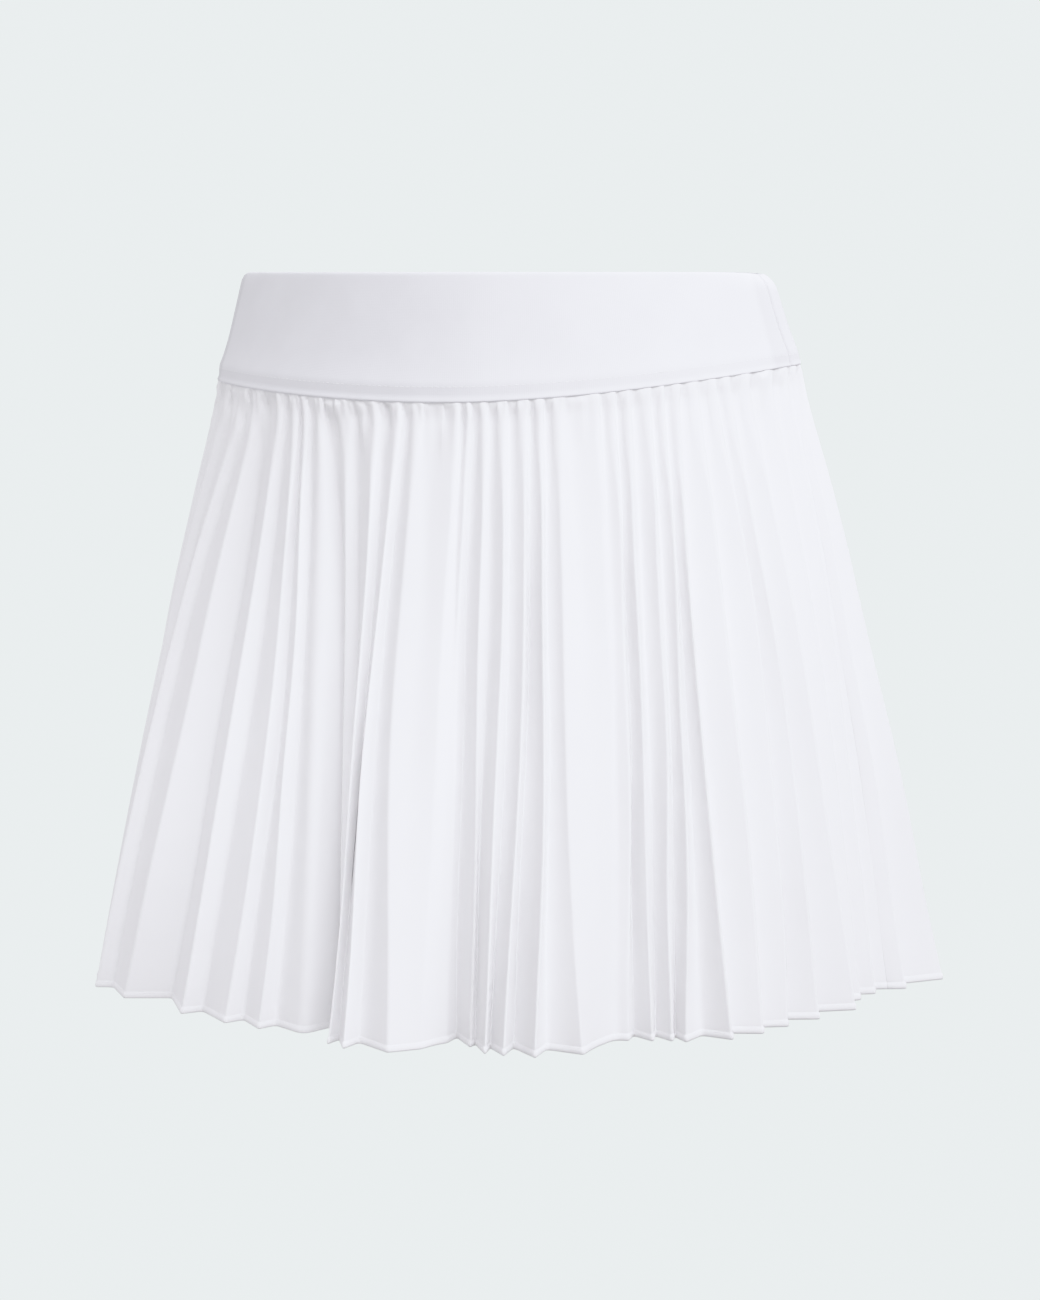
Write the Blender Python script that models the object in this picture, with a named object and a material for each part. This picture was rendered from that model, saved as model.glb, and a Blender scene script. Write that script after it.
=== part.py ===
"""Tennis skirt: a wide elastic band and two accordion-pleated panels, worn shape, open at waist and hem.

The skirt is built as it is sewn. A front and a back band meet at the side seams. A front and a back
panel, each pressed into narrow pleats, hang from the band. All four are walls of cloth.

Frame: +Z up, the front faces -Y, the origin is the centre of the waist opening, level with its top edge.
Lengths in the tables are millimetres; MM turns them into metres.
Distances "along" run round a ring, from centre front (0) towards +X, so they grow anticlockwise from above.
"""
import math
from collections import namedtuple

import bmesh
import bpy
import numpy as np

MM = 0.001

# Driving sizes: the rings that the cloth hangs from and reaches down to.
# half_width along X, half_depth along Y, shift of the centre along X, height of the sides,
# tilt (rise for each mm of X) and dip (how much lower centre front is than the sides).
Ring = namedtuple("Ring", "half_width half_depth shift height tilt dip")
WAIST = Ring(118.5, 88.0, 0.0, 0.0, 0.0, 0.0)
SEAM = Ring(131.0, 97.0, 0.5, -44.2, 0.029, 10.3)
HEM = Ring(191.5, 143.0, 4.5, -317.5, 0.023, 5.5)
ROUNDNESS = 1.85  # exponent of the rings' outline: 2 is an ellipse, less is more pointed
HIP_SWELL = 0.04  # share of the flare that comes early, over the hips
RING_STEPS = 1440  # samples that measure the distance round a ring

CLOTH = 1.2  # wall of the pleated cloth
BAND_WALL = 2.0  # wall of the doubled elastic band
SEAM_GAP = 0.38  # room between neighbouring pieces, never under 0.3 between their flat facets
SIDE_SEAM = 0.455  # where the band's side seams lie, as a share of half the ring's length
BAND_STEPS = 22  # flat steps round each band piece

# Pleats of the front panel, from the side seam at -X to the one at +X, one row for each pleat.
# seam, hem: where the outer fold starts and ends, along those rings. bow: how far it swings aside half-way.
# out: how far it stands out at the hem. deep: depth at the hem of the inner fold that follows it.
# lean: where that inner fold lies, from this pleat (0) to the next (1).
Pleat = namedtuple("Pleat", "seam hem bow out deep lean")
FRONT_PLEATS = [
    Pleat(-154, -270, 0, 0, 9, 0.50),
    Pleat(-136, -247, 0, 2, 1, 0.50),
    Pleat(-117, -225, -4, 3, 7, 0.10),
    Pleat(-107, -196, 4, -3, 17, 0.30),
    Pleat(-92, -152, 6, -9, 9, 0.15),
    Pleat(-83, -122, 8, -11, 8, 0.12),
    Pleat(-78, -102, 6, -12, 8, 0.10),
    Pleat(-70, -79, 4, -13, 13, 0.78),
    Pleat(-56, -67, 2, -25, 9, 0.40),
    Pleat(-41, -60, 3, -4, 9, 0.20),
    Pleat(-29, -50, -2, 0, 10, 0.14),
    Pleat(-21, -30, -4, 1, 0, 0.50),
    Pleat(-3, -17, -1, -7, 1, 0.50),
    Pleat(1, -8, -1, -17, 9, 0.18),
    Pleat(8, 4, 0, -11, 6, 0.22),
    Pleat(16, 11, 2, -1, 10, 0.22),
    Pleat(25, 20, 2, 2, 12, 0.20),
    Pleat(31, 33, 2, 6, 11, 0.20),
    Pleat(39, 52, -3, 4, 1, 0.50),
    Pleat(55, 65, 2, -12, 2, 0.40),
    Pleat(62, 74, 2, -12, 8, 0.30),
    Pleat(69, 84, -1, -8, 9, 0.45),
    Pleat(78, 91, 1, -5, 8, 0.50),
    Pleat(84, 97, 2, -1, 10, 0.50),
    Pleat(91, 116, -4, 3, 10, 0.12),
    Pleat(100, 131, 1, 1, 10, 0.12),
    Pleat(109, 145, 6, -3, 13, 0.12),
    Pleat(116, 163, 4, -5, 15, 0.10),
    Pleat(127, 186, 2, -7, 14, 0.25),
    Pleat(142, 204, 2, -17, 9, 0.50),
    Pleat(156, 219, 3, -19, 10, 0.50),
]
# The first pleats of the back panel, which turn round the side at +X.
SIDE_PLEATS = [
    Pleat(166, 237, 2, -11, 10, 0.40),
    Pleat(176, 262, 0, 1, 9, 0.50),
]
BACK_PLEATS = 33  # the rest of the back's pleats, spaced by rule
BACK_EVENNESS = 0.5  # 0 repeats the front's uneven spacing, 1 is even
BACK_DEPTH = 13.0  # usual depth of the back's inner folds at the hem
BACK_LEAN = 0.4  # usual lean of the back's inner folds
BACK_SWING = 8.0  # how far the back's slow waves swing in at the hem
BACK_WAVES = 3  # slow waves across the back

SEAM_DEPTH = 3.8  # depth of the pleats where they are gathered into the band
SEAM_LEAN = 0.3  # lean of the inner folds there
DEPTH_GROWTH = 0.6  # exponent: the pleats deepen fast below the band, then slowly
LEAN_STARTS = 3.0  # the inner folds have moved to their lean once they are 1 / this of the way down
LEAST_MITRE = 0.34  # keeps a sharp fold's corner from running out too far
ROWS_DOWN = (0.0, 0.05, 0.16, 0.36, 0.6, 0.82, 1.0)  # sections of a panel, from seam to hem

# Profile of the band: share of the way down, how far the outer and the inner face stand out.
BandRow = namedtuple("BandRow", "down outer inner")
BAND_ROWS = [
    BandRow(0.0, -0.6, -1.4),
    BandRow(0.03, 0.0, -BAND_WALL),
    BandRow(0.5, 0.0, -BAND_WALL),
    BandRow(0.86, 0.5, -BAND_WALL + 0.5),
    BandRow(1.0, 0.0, -BAND_WALL),
]

WHITE = (0.93, 0.93, 0.94)
ELASTIC_ROUGHNESS = 0.6
CLOTH_ROUGHNESS = 0.7


def clear_scene():
    for item in list(bpy.data.objects):
        bpy.data.objects.remove(item, do_unlink=True)


def mix(start, end, share):
    return start + (end - start) * share


def ring_between(upper, lower, down, swell=0.0):
    """Returns the ring that lies a share of the way down from one ring to another."""
    flare = down + swell * math.sin(math.pi * down)
    return Ring(
        mix(upper.half_width, lower.half_width, flare),
        mix(upper.half_depth, lower.half_depth, flare),
        mix(upper.shift, lower.shift, flare),
        mix(upper.height, lower.height, down),
        mix(upper.tilt, lower.tilt, down),
        mix(upper.dip, lower.dip, down),
    )


def ring_height(ring, x, y):
    front = max(0.0, -y / ring.half_depth)
    return ring.height + ring.tilt * x - ring.dip * front**2


class Outline:
    """A ring's outline from above, measured by the distance round it from centre front."""

    def __init__(self, ring):
        self.ring = ring
        turn = np.linspace(0.0, 2.0 * math.pi, RING_STEPS + 1) - math.pi / 2
        cosine, sine = np.cos(turn), np.sin(turn)
        power = 2.0 / ROUNDNESS
        self.x = ring.half_width * np.sign(cosine) * np.abs(cosine) ** power + ring.shift
        self.y = ring.half_depth * np.sign(sine) * np.abs(sine) ** power
        steps = np.hypot(np.diff(self.x), np.diff(self.y))
        self.along = np.concatenate([[0.0], np.cumsum(steps)])
        self.length = self.along[-1]

    def place(self, along):
        spot = along % self.length
        return np.array([np.interp(spot, self.along, self.x), np.interp(spot, self.along, self.y)])

    def point(self, along, out=0.0):
        """Returns the point at a distance round the ring, moved out square to it."""
        step = self.length / RING_STEPS
        forward = self.place(along + step) - self.place(along - step)
        outward = np.array([forward[1], -forward[0]]) / np.linalg.norm(forward)
        return self.place(along) + outward * out


def back_pleats(seam_length, hem_length):
    """Spaces the back's pleats: the front's rhythm read the other way, evened out, in slow waves."""
    first, last = SIDE_PLEATS[-1], FRONT_PLEATS[0]
    rhythm = FRONT_PLEATS[::-1]
    count = BACK_PLEATS + 1

    def gaps(places, total):
        front = [start - end for start, end in zip(places, places[1:])]
        values = [front[i % len(front)] for i in range(count)]
        mean = sum(values) / count
        even = [mix(value, mean, BACK_EVENNESS) for value in values]
        return [value * total / sum(even) for value in even]

    seam_gaps = gaps([pleat.seam for pleat in rhythm], last.seam + seam_length - first.seam)
    hem_gaps = gaps([pleat.hem for pleat in rhythm], last.hem + hem_length - first.hem)
    pleats = []
    seam, hem = first.seam, first.hem
    for i in range(BACK_PLEATS):
        seam += seam_gaps[i]
        hem += hem_gaps[i]
        like = rhythm[i % len(rhythm)]
        pleats.append(Pleat(
            seam=seam,
            hem=hem,
            bow=mix(-like.bow, 0.0, BACK_EVENNESS),
            out=-BACK_SWING * math.sin(math.pi * BACK_WAVES * (i + 1) / count) ** 2,
            deep=mix(like.deep, BACK_DEPTH, BACK_EVENNESS),
            lean=mix(like.lean, BACK_LEAN, BACK_EVENNESS),
        ))
    return pleats


def fold_at(pleat, down):
    """Returns how far along and how far out a pleat's outer fold is, a share of the way down."""
    along = mix(pleat.seam, pleat.hem, down) + pleat.bow * math.sin(math.pi * down)
    return along, pleat.out * down


def inner_fold_at(pleat, following, down):
    """Returns the same for the inner fold between two pleats."""
    along, out = fold_at(pleat, down)
    next_along, next_out = fold_at(following, down)
    lean = mix(SEAM_LEAN, pleat.lean, min(1.0, down * LEAN_STARTS))
    depth = mix(SEAM_DEPTH, pleat.deep, down**DEPTH_GROWTH)
    return mix(along, next_along, lean), mix(out, next_out, lean) - depth


def shift_round(pleat, seam_length, hem_length):
    return pleat._replace(seam=pleat.seam + seam_length, hem=pleat.hem + hem_length)


def panel_line(before, pleats, after, down):
    """Returns the middle line of a panel's cloth at one height, as points and the outline they follow.

    The line starts and ends half-way across the faces that hold the side seams.
    """
    outline = Outline(ring_between(SEAM, HEM, down, HIP_SWELL))
    swell = outline.length / mix(Outline(SEAM).length, Outline(HEM).length, down)
    spots = [inner_fold_at(before, pleats[0], down)]
    for pleat, following in zip(pleats, pleats[1:] + [after]):
        spots.append(fold_at(pleat, down))
        spots.append(inner_fold_at(pleat, following, down))
    spots.append(fold_at(after, down))
    points = [outline.point(along * swell, out) for along, out in spots]
    first, last = (points[0] + points[1]) / 2, (points[-2] + points[-1]) / 2
    to_second = (points[1] - first) / np.linalg.norm(points[1] - first)
    to_last = (last - points[-2]) / np.linalg.norm(last - points[-2])
    first = first + to_second * SEAM_GAP / 2
    last = last - to_last * SEAM_GAP / 2
    return [first] + points[1:-1] + [last], outline.ring


def both_faces(line, wall):
    """Moves a line half a wall to each side, square to the cloth, with mitred corners."""
    outer, inner = [], []
    for i, point in enumerate(line):
        normals = []
        for start, end in ((i - 1, i), (i, i + 1)):
            if 0 <= start and end < len(line):
                way = line[end] - line[start]
                normals.append(np.array([way[1], -way[0]]) / np.linalg.norm(way))
        mitre = sum(normals) / len(normals)
        mitre = mitre / max(LEAST_MITRE, np.linalg.norm(mitre)) ** 2
        outer.append(point + mitre * wall / 2)
        inner.append(point - mitre * wall / 2)
    return outer, inner


def build_wall(name, sections, material):
    """Makes one closed wall from sections, each a pair of rows of 3D points: outer face, inner face."""
    mesh = bmesh.new()
    loops = []
    for outer, inner in sections:
        loops.append([mesh.verts.new(np.asarray(point) * MM) for point in outer + inner[::-1]])
    size = len(loops[0])
    for upper, lower in zip(loops, loops[1:]):
        for i in range(size):
            j = (i + 1) % size
            mesh.faces.new((upper[i], lower[i], lower[j], upper[j]))
    for loop in (loops[0], loops[-1]):
        for i in range(size // 2 - 1):
            mesh.faces.new((loop[i], loop[i + 1], loop[size - 2 - i], loop[size - 1 - i]))
    bmesh.ops.triangulate(mesh, faces=mesh.faces[:])
    bmesh.ops.recalc_face_normals(mesh, faces=mesh.faces[:])
    data = bpy.data.meshes.new(name)
    mesh.to_mesh(data)
    mesh.free()
    piece = bpy.data.objects.new(name, data)
    data.materials.append(material)
    bpy.context.scene.collection.objects.link(piece)
    return piece


def build_panel(name, before, pleats, after, material):
    """Makes a pleated panel, just under the band's lower edge and down to the hem."""
    sections = []
    for down in ROWS_DOWN:
        line, ring = panel_line(before, pleats, after, down)
        drop = SEAM_GAP * (1.0 - down)
        faces = both_faces(line, CLOTH)
        sections.append([
            [(x, y, ring_height(ring, x, y) - drop) for x, y in face] for face in faces
        ])
    return build_wall(name, sections, material)


def build_band(name, start, end, material):
    """Makes a band piece between two side seams, given as shares of half the ring's length."""
    sections = []
    for row in BAND_ROWS:
        ring = ring_between(WAIST, SEAM, row.down)
        outline = Outline(ring)
        half = outline.length / 2
        first = start * half + SEAM_GAP / 2
        last = end * half - SEAM_GAP / 2
        faces = []
        for out in (row.outer, row.inner):
            spots = [outline.point(along, out) for along in np.linspace(first, last, BAND_STEPS + 1)]
            faces.append([(x, y, ring_height(ring, x, y)) for x, y in spots])
        sections.append(faces)
    return build_wall(name, sections, material)


def cloth_material(name, roughness):
    material = bpy.data.materials.new(name)
    material.use_nodes = True
    shader = material.node_tree.nodes["Principled BSDF"]
    shader.inputs["Base Color"].default_value = (*WHITE, 1.0)
    shader.inputs["Roughness"].default_value = roughness
    shader.inputs["Metallic"].default_value = 0.0
    return material


def main():
    clear_scene()
    seam_length = Outline(SEAM).length
    hem_length = Outline(HEM).length
    back = SIDE_PLEATS + back_pleats(seam_length, hem_length)
    before_front = shift_round(back[-1], -seam_length, -hem_length)
    after_back = shift_round(FRONT_PLEATS[0], seam_length, hem_length)

    elastic_front = cloth_material("elastic_front", ELASTIC_ROUGHNESS)
    elastic_back = cloth_material("elastic_back", ELASTIC_ROUGHNESS)
    cloth_front = cloth_material("pleated_cloth_front", CLOTH_ROUGHNESS)
    cloth_back = cloth_material("pleated_cloth_back", CLOTH_ROUGHNESS)
    build_band("waistband_front", -SIDE_SEAM, SIDE_SEAM, elastic_front)
    build_band("waistband_back", SIDE_SEAM, 2.0 - SIDE_SEAM, elastic_back)
    build_panel("skirt_front", before_front, FRONT_PLEATS, back[0], cloth_front)
    build_panel("skirt_back", FRONT_PLEATS[-1], back, after_back, cloth_back)


main()
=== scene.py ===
"""Pleated tennis skirt: cloth, elastic band, stitching, studio.

The sewn pieces are rebuilt as thin cloth on the forms of the skirt's solids: a front and a back half
of the elastic band, and a front and a back pleated panel with their creases, gathers and turned hem.

Frame: metres, +Z up, the front faces -Y, the origin is the centre of the waist, level with its top edge.
Tables are in millimetres. "Along" is the distance round a ring from centre front, growing towards +X.
"Drop" is the distance below the band.
"""
import math
from collections import namedtuple

import bpy
import numpy as np
from bpy.props import FloatProperty, FloatVectorProperty, PointerProperty
from mathutils import Matrix, Vector


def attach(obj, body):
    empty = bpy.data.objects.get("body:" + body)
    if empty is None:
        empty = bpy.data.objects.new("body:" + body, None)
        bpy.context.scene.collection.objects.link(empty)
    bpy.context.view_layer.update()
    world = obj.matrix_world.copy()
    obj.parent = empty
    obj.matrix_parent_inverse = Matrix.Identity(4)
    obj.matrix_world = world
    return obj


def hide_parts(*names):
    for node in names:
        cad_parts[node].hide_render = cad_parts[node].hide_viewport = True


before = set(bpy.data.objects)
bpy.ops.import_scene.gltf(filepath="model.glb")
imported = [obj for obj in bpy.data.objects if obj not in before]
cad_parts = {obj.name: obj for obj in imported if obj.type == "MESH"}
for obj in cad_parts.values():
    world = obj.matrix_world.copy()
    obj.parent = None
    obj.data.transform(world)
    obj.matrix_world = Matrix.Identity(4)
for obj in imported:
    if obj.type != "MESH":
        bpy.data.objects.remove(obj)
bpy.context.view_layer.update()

bl_info = {
    "name": "Pleated Tennis Skirt",
    "version": (1, 0, 0),
    "blender": (4, 5, 0),
    "location": "3D View > Sidebar > Skirt",
    "description": "Builds a worn tennis skirt: elastic band, accordion pleats, stitching and studio",
    "category": "Add Mesh",
}

MM = 0.001

# half_width, half_depth: from its middle to a side and to the front. shift: how far its middle lies towards
# +X. height: its middle's. tilt: how steeply it rises towards +X. dip: how far it sinks at centre front.
Ring = namedtuple("Ring", "half_width half_depth shift height tilt dip")
WAIST = Ring(118.5, 88.0, 0.0, 0.0, 0.0, 0.0)
SEAM = Ring(131.0, 97.0, 0.5, -44.2, 0.029, 10.3)
HEM = Ring(191.5, 143.0, 4.5, -317.5, 0.023, 5.5)
ROUNDNESS = 1.85  # power in a ring's outline, where 2 is an ellipse
RING_STEPS = 1440
SIDE_SEAM = 0.455  # where the band's halves meet, from centre front (0) to centre back (1)
PANEL_LENGTH = 272.0  # how far the hem hangs below the band
HIP_SWELL = 0.04  # how far the cloth swells out half-way down, as a share of its flare from band to hem
VALLEY_SOFTNESS = 2.5  # how much wider an inner fold is rounded than an outer one

# seam, hem: where the outer fold starts and ends. bow: how far it swings aside half-way. out: how far it
# stands out at the hem. deep: depth at the hem of the inner fold after it. lean: that fold's place between
# this pleat (0) and the next (1). soft: how much wider than usual its crease is rounded.
Pleat = namedtuple("Pleat", "seam hem bow out deep lean soft", defaults=(1.0,))
FRONT_PLEATS = [
    Pleat(-154, -270, 0, 0, 9, 0.50),
    Pleat(-136, -247, 0, 2, 1, 0.50),
    Pleat(-117, -225, -4, 3, 7, 0.10),
    Pleat(-107, -196, 4, -3, 17, 0.30),
    Pleat(-92, -152, 6, -9, 9, 0.15),
    Pleat(-83, -122, 8, -11, 8, 0.12),
    Pleat(-78, -102, 6, -12, 8, 0.10),
    Pleat(-70, -79, 4, -13, 13, 0.78, 5.0),
    Pleat(-56, -67, 2, -25, 9, 0.40),
    Pleat(-41, -60, 3, -4, 9, 0.20),
    Pleat(-29, -50, -2, 0, 10, 0.14),
    Pleat(-21, -30, -4, 1, 0, 0.50),
    Pleat(-3, -17, -1, -7, 1, 0.50),
    Pleat(1, -8, -1, -17, 9, 0.18),
    Pleat(8, 4, 0, -11, 6, 0.22),
    Pleat(16, 11, 2, -1, 10, 0.22),
    Pleat(25, 20, 2, 2, 12, 0.20),
    Pleat(31, 33, 2, 6, 11, 0.20),
    Pleat(39, 52, -3, 4, 1, 0.50),
    Pleat(55, 65, 2, -12, 2, 0.40),
    Pleat(62, 74, 2, -12, 8, 0.30),
    Pleat(69, 84, -1, -8, 9, 0.45),
    Pleat(78, 91, 1, -5, 8, 0.50),
    Pleat(84, 97, 2, -1, 10, 0.50),
    Pleat(91, 116, -4, 3, 10, 0.12, 1.5),
    Pleat(100, 131, 1, 1, 10, 0.12, 1.5),
    Pleat(109, 145, 6, -3, 13, 0.12, 1.5),
    Pleat(116, 163, 4, -5, 15, 0.10, 1.5),
    Pleat(127, 186, 2, -7, 14, 0.25, 1.5),
    Pleat(142, 204, 2, -17, 9, 0.50),
    Pleat(156, 219, 3, -19, 10, 0.50),
]
SIDE_PLEATS = [
    Pleat(166, 237, 2, -11, 10, 0.40),
    Pleat(176, 262, 0, 1, 9, 0.50),
]
BACK_PLEATS = 33
BACK_EVENNESS = 0.5  # 0 repeats the front's uneven pleats, 1 makes the back's pleats all alike
BACK_DEPTH = 13.0
BACK_LEAN = 0.4
BACK_SWING = 8.0  # how far the hem swings in and out again in each of its waves
BACK_WAVES = 3

SEAM_DEPTH = 3.8  # depth of an inner fold at the band
DEPTH_GROWTH = 0.6  # power with which it deepens on its way down
SEAM_LEAN = 0.22  # lean of an inner fold at the band
LEAN_SPEED = 3.0  # at 3 it leans as it does at the hem from a third of the way down

# A short gather that starts at the band. slant: how far it moves aside on its way down. height: how far it
# stands out, or in where it is less than 0.
Gather = namedtuple("Gather", "seam slant width height length")
FRONT_GATHERS = [
    Gather(-131, -4.0, 2.0, 1.0, 22),
    Gather(-100, -1.0, 1.6, -1.2, 18),
    Gather(-66, 2.0, 2.2, 1.3, 16),
    Gather(-61, 0.0, 1.6, 1.2, 14),
    Gather(-49, 0.5, 1.7, 1.2, 26),
    Gather(-46, 0.0, 1.2, -1.2, 12),
    Gather(-37, 1.0, 1.6, -1.3, 16),
    Gather(-9, -1.5, 1.5, -1.2, 14),
    Gather(47, 1.0, 2.5, 0.8, 24),
    Gather(138, 1.0, 3.0, 0.8, 20),
]

# Rows of the pleated cloth, as drops: close together under the band and at the hem.
TOP_ROWS = (
    -1.6, -0.6, 0.0, 0.4, 0.9, 1.5, 2.2, 3.0, 4.0, 5.2, 6.6, 8.2, 10.0, 12.2, 14.8, 17.8, 21.2, 25.0,
)
HEM_ROWS = (5.2, 3.9, 3.3, 3.0, 2.5, 1.6, 0.8, 0.3, 0.0)  # measured up from the hem's edge
ROW_STEP = 5.2  # about how far apart the rows in between are

# The turned hem's outer and inner face, as distances from the cloth's middle, at a height above its edge.
HemRow = namedtuple("HemRow", "up outer inner")
HEM_PROFILE = [
    HemRow(0.0, 0.12, 0.12),
    HemRow(0.3, 0.50, 0.45),
    HemRow(0.8, 0.68, 0.60),
    HemRow(1.6, 0.70, 0.60),
    HemRow(2.5, 0.60, 0.50),
    HemRow(3.0, 0.22, 0.35),
]
HEM_TOP = 3.9  # height from which the cloth is single

# Section down the band: share of the way down, and how far each face stands off the ring.
BandRow = namedtuple("BandRow", "down outer inner")
BAND_ROWS = [
    BandRow(0.000, -0.85, -1.30),
    BandRow(0.003, -0.40, -1.70),
    BandRow(0.009, -0.15, -1.90),
    BandRow(0.018, -0.03, -2.00),
    BandRow(0.032, 0.00, -2.00),
    BandRow(0.070, 0.00, -2.00),
    BandRow(0.130, -0.02, -2.00),
    BandRow(0.200, -0.05, -2.00),
    BandRow(0.350, -0.15, -2.10),
    BandRow(0.500, -0.20, -2.15),
    BandRow(0.620, -0.15, -2.10),
    BandRow(0.720, 0.10, -1.95),
    BandRow(0.790, 0.48, -1.80),
    BandRow(0.830, 0.78, -1.70),
    BandRow(0.858, 0.94, -1.60),
    BandRow(0.878, 0.84, -1.60),
    BandRow(0.900, 0.66, -1.60),
    BandRow(0.935, 0.32, -1.65),
    BandRow(0.955, 0.16, -1.70),
    BandRow(0.972, 0.36, -1.75),
    BandRow(0.985, 0.50, -1.75),
    BandRow(0.995, 0.34, -1.75),
    BandRow(1.000, -0.05, -1.60),
]
TOPSTITCH_DOWN = 0.878  # the row that the topstitching follows

# The band's height down, as cut and laid flat.
BAND_HEIGHT = 50.0


def mix(start, end, share):
    """The value that lies a share of the way from start to end."""
    return start + (end - start) * share


def smooth(start, end, value):
    """Rises from 0 to 1 between two values, with a soft start and end."""
    share = np.clip((value - start) / (end - start), 0.0, 1.0)
    return share * share * (3.0 - 2.0 * share)


def between(value, rise, fall):
    """Rises from 0 to 1 over one span of values and sinks back to 0 over a later one."""
    return smooth(*rise, value) * (1.0 - smooth(*fall, value))


def uneven(number, seed=0.0):
    """Returns a fixed uneven value from -1 to 1 for each number."""
    wave = np.sin(np.asarray(number, dtype=float) * 12.9898 + seed * 78.233) * 43758.5453
    return 2.0 * (wave - np.floor(wave)) - 1.0


# ---------------------------------------------------------------- rings and folds


def ring_between(upper, lower, down, swell=0.0):
    """Returns the ring that lies a share of the way down from one ring to another, or a little beyond."""
    flare = down + swell * math.sin(math.pi * min(max(down, 0.0), 1.0))
    return Ring(
        mix(upper.half_width, lower.half_width, flare),
        mix(upper.half_depth, lower.half_depth, flare),
        mix(upper.shift, lower.shift, flare),
        mix(upper.height, lower.height, down),
        mix(upper.tilt, lower.tilt, down),
        mix(upper.dip, lower.dip, down),
    )


def ring_height(ring, x, y):
    """Height of the ring's slanting, dipping line over a place seen from above."""
    front = np.maximum(0.0, -y / ring.half_depth)
    return ring.height + ring.tilt * x - ring.dip * front**2


class Outline:
    """A ring's outline from above, measured by the distance round it from centre front."""

    def __init__(self, ring):
        turn = np.linspace(0.0, 2.0 * math.pi, RING_STEPS + 1) - math.pi / 2
        cosine, sine = np.cos(turn), np.sin(turn)
        power = 2.0 / ROUNDNESS
        self.x = ring.half_width * np.sign(cosine) * np.abs(cosine) ** power + ring.shift
        self.y = ring.half_depth * np.sign(sine) * np.abs(sine) ** power
        steps = np.hypot(np.diff(self.x), np.diff(self.y))
        self.along = np.concatenate([[0.0], np.cumsum(steps)])
        self.length = self.along[-1]

    def place(self, along):
        """Where the outline is, at a distance round it."""
        spot = np.asarray(along) % self.length
        return np.stack([np.interp(spot, self.along, self.x), np.interp(spot, self.along, self.y)], -1)

    def point(self, along, out=0.0):
        """A place on the outline, moved out square to it."""
        along = np.asarray(along, dtype=float)
        step = self.length / RING_STEPS
        forward = self.place(along + step) - self.place(along - step)
        outward = np.stack([forward[..., 1], -forward[..., 0]], -1)
        outward /= np.linalg.norm(outward, axis=-1, keepdims=True)
        return self.place(along) + outward * np.asarray(out, dtype=float)[..., None]


SEAM_LENGTH = Outline(SEAM).length
HEM_LENGTH = Outline(HEM).length


def back_pleats():
    """Spaces the back's pleats: the front's rhythm read the other way, evened out, in slow waves."""
    first, last = SIDE_PLEATS[-1], FRONT_PLEATS[0]
    rhythm = FRONT_PLEATS[::-1]
    count = BACK_PLEATS + 1

    def gaps(places, total):
        front = [start - end for start, end in zip(places, places[1:])]
        values = [front[i % len(front)] for i in range(count)]
        mean = sum(values) / count
        even = [mix(value, mean, BACK_EVENNESS) for value in values]
        return [value * total / sum(even) for value in even]

    seam_gaps = gaps([pleat.seam for pleat in rhythm], last.seam + SEAM_LENGTH - first.seam)
    hem_gaps = gaps([pleat.hem for pleat in rhythm], last.hem + HEM_LENGTH - first.hem)
    pleats = []
    seam, hem = first.seam, first.hem
    for i in range(BACK_PLEATS):
        seam += seam_gaps[i]
        hem += hem_gaps[i]
        like = rhythm[i % len(rhythm)]
        pleats.append(Pleat(
            seam=seam,
            hem=hem,
            bow=mix(-like.bow, 0.0, BACK_EVENNESS),
            out=-BACK_SWING * math.sin(math.pi * BACK_WAVES * (i + 1) / count) ** 2,
            deep=mix(like.deep, BACK_DEPTH, BACK_EVENNESS),
            lean=mix(like.lean, BACK_LEAN, BACK_EVENNESS),
        ))
    return pleats


def fold_at(pleat, down):
    """Returns where an outer fold is, a share of the way down: how far along and how far out."""
    share = min(max(down, 0.0), 1.0)
    bow = pleat.bow * math.sin(math.pi * share)
    return np.array((mix(pleat.seam, pleat.hem, down) + bow, pleat.out * share))


def inner_fold_at(pleat, following, down):
    """Returns the same for the inner fold between a pleat and the next."""
    along, out = fold_at(pleat, down)
    next_along, next_out = fold_at(following, down)
    share = max(down, 0.0)
    lean = mix(SEAM_LEAN, pleat.lean, min(1.0, share * LEAN_SPEED))
    depth = mix(SEAM_DEPTH, pleat.deep, share**DEPTH_GROWTH)
    return np.array((mix(along, next_along, lean), mix(out, next_out, lean) - depth))


def shift_round(pleat, turns):
    """Returns the same pleat counted whole turns further round."""
    return pleat._replace(seam=pleat.seam + turns * SEAM_LENGTH, hem=pleat.hem + turns * HEM_LENGTH)


# ---------------------------------------------------------------- pleated cloth

MOST_ROUNDED = 0.86  # how much of the way to the middle between two creases a rounding may take
CURVE_SHARES = (0.0, 0.2, 0.4, 0.6, 0.8, 1.0)


def rounded(corners, reaches):
    """Returns a line through corners with each corner rounded, nine points to a corner.

    corners holds x, y and any further values to carry along. reaches is how far from each corner
    its rounding starts.
    """
    middles = (corners[:-1] + corners[1:]) / 2
    middles[0], middles[-1] = corners[0], corners[-1]
    points = []
    for k in range(1, len(corners) - 1):
        corner, before, after = corners[k], middles[k - 1], middles[k]
        half_before = np.linalg.norm((corner - before)[:2])
        half_after = np.linalg.norm((corner - after)[:2])
        start = mix(corner, before, min(MOST_ROUNDED, reaches[k] / half_before))
        end = mix(corner, after, min(MOST_ROUNDED, reaches[k] / half_after))
        points.append(before)
        points.append(mix(before, start, 0.5))
        for t in CURVE_SHARES:
            points.append(start * (1 - t) ** 2 + corner * 2 * t * (1 - t) + end * t * t)
        points.append(mix(end, after, 0.5))
    points.append(middles[-1])
    return np.array(points)


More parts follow.
